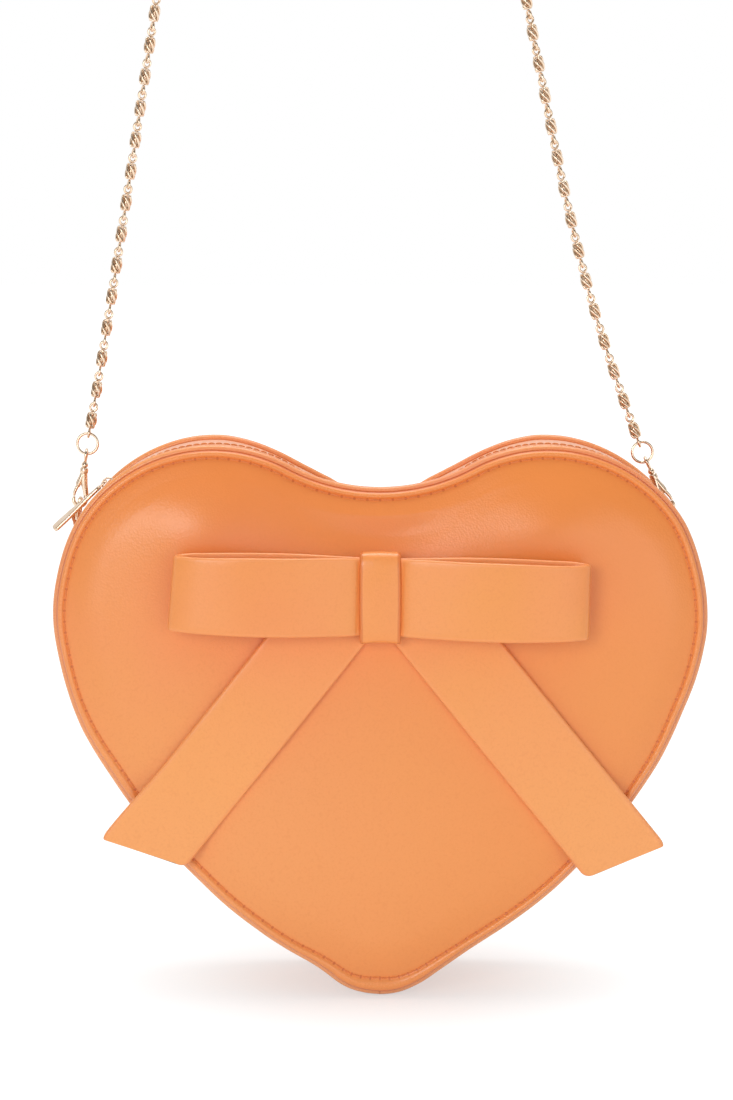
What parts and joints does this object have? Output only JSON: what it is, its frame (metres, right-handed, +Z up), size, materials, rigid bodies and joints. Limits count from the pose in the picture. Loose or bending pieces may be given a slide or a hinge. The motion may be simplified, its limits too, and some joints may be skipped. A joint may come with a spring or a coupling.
{
  "type": "heart shaped purse",
  "caption": "Heart-shaped faux leather purse with a sewn bow on its padded front, a zip top, snap clasps on side D rings and a gold chain strap.",
  "frame": {"origin": "carrying point of the chain strap, where its arch crosses the heart's middle plane", "axes": "+X to the right of the heart seen from its bow side, +Y to the flat rear, +Z up along the strap"},
  "size_m": [0.2211, 0.0818, 0.4129],
  "materials": {
    "leather": "satin faux leather with a fine grain",
    "padding": "soft foam sheet",
    "board": "plain stiffening board",
    "lining": "smooth woven lining",
    "zip_tape": "woven tape",
    "zip_coil": "moulded coil",
    "gold_metal": "polished pale gold plating"
  },
  "bodies": {
    "strap": {"chain_links": "gold_metal", "left_chain_ring": "gold_metal", "right_chain_ring": "gold_metal", "left_clasp_eye": "gold_metal", "right_clasp_eye": "gold_metal"},
    "left_clasp": {"left_clasp_hook": "gold_metal", "left_clasp_pin": "gold_metal"},
    "left_gate": {"left_clasp_gate": "gold_metal"},
    "right_clasp": {"right_clasp_hook": "gold_metal", "right_clasp_pin": "gold_metal"},
    "right_gate": {"right_clasp_gate": "gold_metal"},
    "pouch": {"back_board": "board", "back_lining": "lining", "back_panel": "leather", "back_piping": "leather", "bow_knot": "leather", "bow_loop": "leather", "bow_rivet": "gold_metal", "bow_tail_left": "leather", "bow_tail_right": "leather", "front_board": "board", "front_lining": "lining", "front_padding": "padding", "front_panel": "leather", "front_piping": "leather", "inner_pocket": "lining", "left_d_ring": "gold_metal", "left_gusset": "leather", "left_ring_tab": "leather", "lining_band": "lining", "right_d_ring": "gold_metal", "right_gusset": "leather", "right_ring_tab": "leather", "top_gusset_back": "leather", "top_gusset_front": "leather", "zip_coil_back": "zip_coil", "zip_coil_front": "zip_coil", "zip_stop_left": "gold_metal", "zip_stop_right": "gold_metal", "zip_tape_back": "zip_tape", "zip_tape_front": "zip_tape"},
    "slider": {"zip_slider": "gold_metal"},
    "pull": {"zip_pull": "gold_metal"}
  },
  "joints": [
    {"name": "pouch_swing", "type": "hinge", "parent": "strap", "child": "pouch", "pos_m": [-0.10238, 0, -0.24509], "axis": [1, 0, -0.0013], "range_deg": [-20, 40]},
    {"name": "left_swivel", "type": "hinge", "parent": "strap", "child": "left_clasp", "pos_m": [-0.10238, 0, -0.24509], "axis": [0.1357, 0, 0.9907], "range_deg": [-15, 15]},
    {"name": "right_swivel", "type": "hinge", "parent": "strap", "child": "right_clasp", "pos_m": [0.10131, 0, -0.24535], "axis": [-0.342, 0, 0.9397], "range_deg": [-15, 15]},
    {"name": "left_gate_hinge", "type": "hinge", "parent": "left_clasp", "child": "left_gate", "pos_m": [-0.10425, 0, -0.23777], "axis": [0, -1, 0], "range_deg": [0, 20], "stiffness_Nm_per_rad": 0.0002, "springref_deg": -5.73},
    {"name": "right_gate_hinge", "type": "hinge", "parent": "right_clasp", "child": "right_gate", "pos_m": [0.10159, 0, -0.2378], "axis": [0, 1, 0], "range_deg": [0, 20], "stiffness_Nm_per_rad": 0.0002, "springref_deg": -5.73},
    {"name": "zip_run", "type": "hinge", "parent": "pouch", "child": "slider", "pos_m": [-0.0558, -0.007, -0.27754], "axis": [0, 1, 0], "range_deg": [0, 62]},
    {"name": "pull_flip", "type": "hinge", "parent": "slider", "child": "pull", "pos_m": [-0.09293, -0.007, -0.23717], "axis": [0, 1, 0], "range_deg": [0, 165]}
  ]
}
